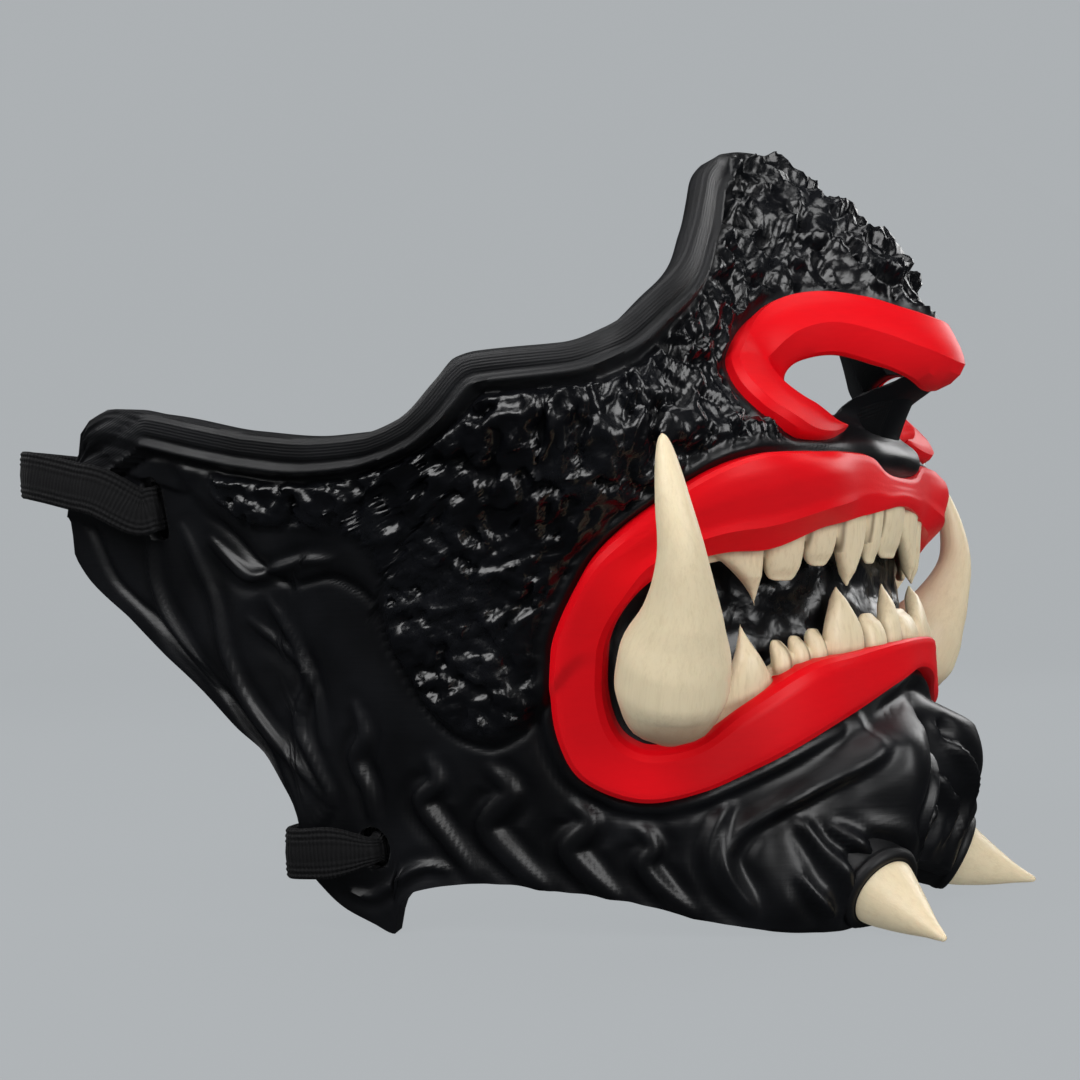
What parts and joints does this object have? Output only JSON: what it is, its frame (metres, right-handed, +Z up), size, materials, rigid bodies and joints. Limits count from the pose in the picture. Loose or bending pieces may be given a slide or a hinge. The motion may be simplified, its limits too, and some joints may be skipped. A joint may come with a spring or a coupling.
{
  "type": "oni mask",
  "caption": "Half-face demon mask: hollow black shell with red mouth and nose, ivory tusks, teeth and chin horns, textured cheeks and elastic head straps.",
  "frame": {"origin": "middle of the footprint, on the plane of the two chin horn tips and the two jaw spikes", "axes": "+Z up, the face looks towards -Y, mirror plane at X = 0"},
  "size_m": [0.1764, 0.1832, 0.1596],
  "materials": {
    "black_shell": "satin black, crinkled on the cheeks",
    "red_paint": "satin red",
    "tusk_ivory": "brushed ivory, darker at the root",
    "horn_ivory": "brushed ivory, darker at the root",
    "tooth_ivory": "painted ivory",
    "elastic": "ribbed black elastic"
  },
  "bodies": {
    "root": {"mask_shell": "black_shell", "lips": "red_paint", "nose_ring": "red_paint", "upper_teeth": "tooth_ivory", "lower_teeth": "tooth_ivory", "tusk_right": "tusk_ivory", "tusk_left": "tusk_ivory", "chin_horn_right": "horn_ivory", "chin_horn_left": "horn_ivory", "upper_strap": "elastic", "lower_strap": "elastic"}
  },
  "joints": []
}
